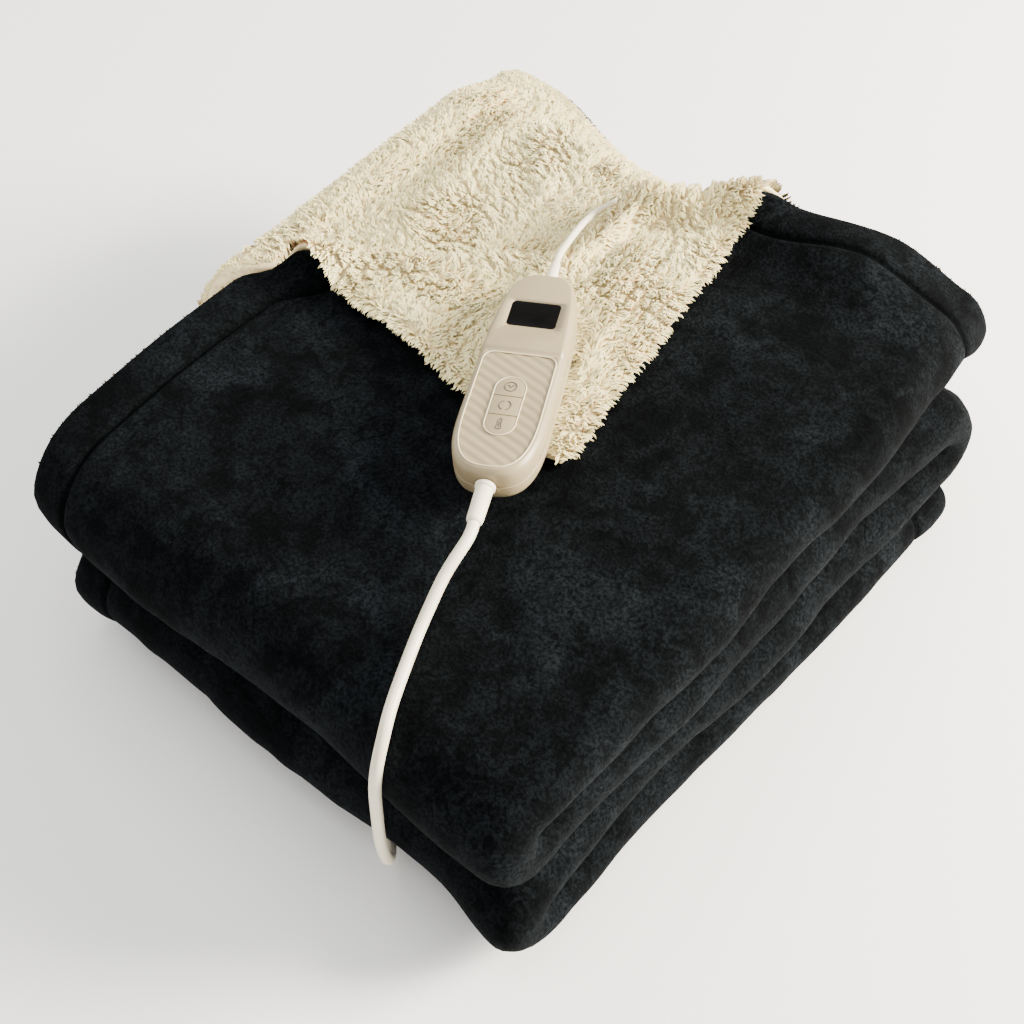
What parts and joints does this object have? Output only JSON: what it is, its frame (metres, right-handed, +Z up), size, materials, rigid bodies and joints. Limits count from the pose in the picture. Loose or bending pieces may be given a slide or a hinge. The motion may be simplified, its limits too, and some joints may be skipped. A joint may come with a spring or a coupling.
{
  "type": "electric heated blanket",
  "caption": "Folded heated throw of black velvet pile with a cream fleece back, one corner turned back under its handset, with its mains lead, hank and plug.",
  "frame": {"origin": "on the floor under the middle of the folded throw with its handset, without its leads, hank and plug", "axes": "+X from the hem side to the rolled side, +Y from the front bulges to the open end, +Z up"},
  "size_m": [0.3806, 0.4012, 0.1526],
  "materials": {
    "velvet": "crushed pile, black",
    "fleece": "deep curly pile, cream",
    "handset_shell": "fine satin, cream",
    "grip_panel": "ribbed, satin",
    "display_window": "dark gloss",
    "keys": "satin, printed marks",
    "sleeves": "satin",
    "cord": "smooth flexible sheath",
    "tie": "woven strap",
    "plug": "satin",
    "pins": "nickel plated"
  },
  "bodies": {
    "root": {"velvet_face": "velvet", "fleece_back": "fleece", "handset_base": "handset_shell", "handset_cover": "handset_shell", "grip_panel": "grip_panel", "display_window": "display_window", "relief_mains": "sleeves", "relief_lead": "sleeves", "blanket_lead": "cord", "mains_cord": "cord", "cord_hank": "cord", "hank_tie": "tie", "cord_tail": "cord", "mains_plug": "plug", "plug_pin_near": "pins", "plug_pin_far": "pins"},
    "timer_key": {"key_timer": "keys"},
    "power_key": {"key_power": "keys"},
    "heat_key": {"key_heat": "keys"}
  },
  "joints": [
    {"name": "timer_press", "type": "slide", "parent": "root", "child": "timer_key", "axis": [0, 0, -1], "range_m": [0, 0.0005], "stiffness_N_per_m": 800},
    {"name": "power_press", "type": "slide", "parent": "root", "child": "power_key", "axis": [0, 0, -1], "range_m": [0, 0.0005], "stiffness_N_per_m": 800},
    {"name": "heat_press", "type": "slide", "parent": "root", "child": "heat_key", "axis": [0, 0, -1], "range_m": [0, 0.0005], "stiffness_N_per_m": 800}
  ]
}
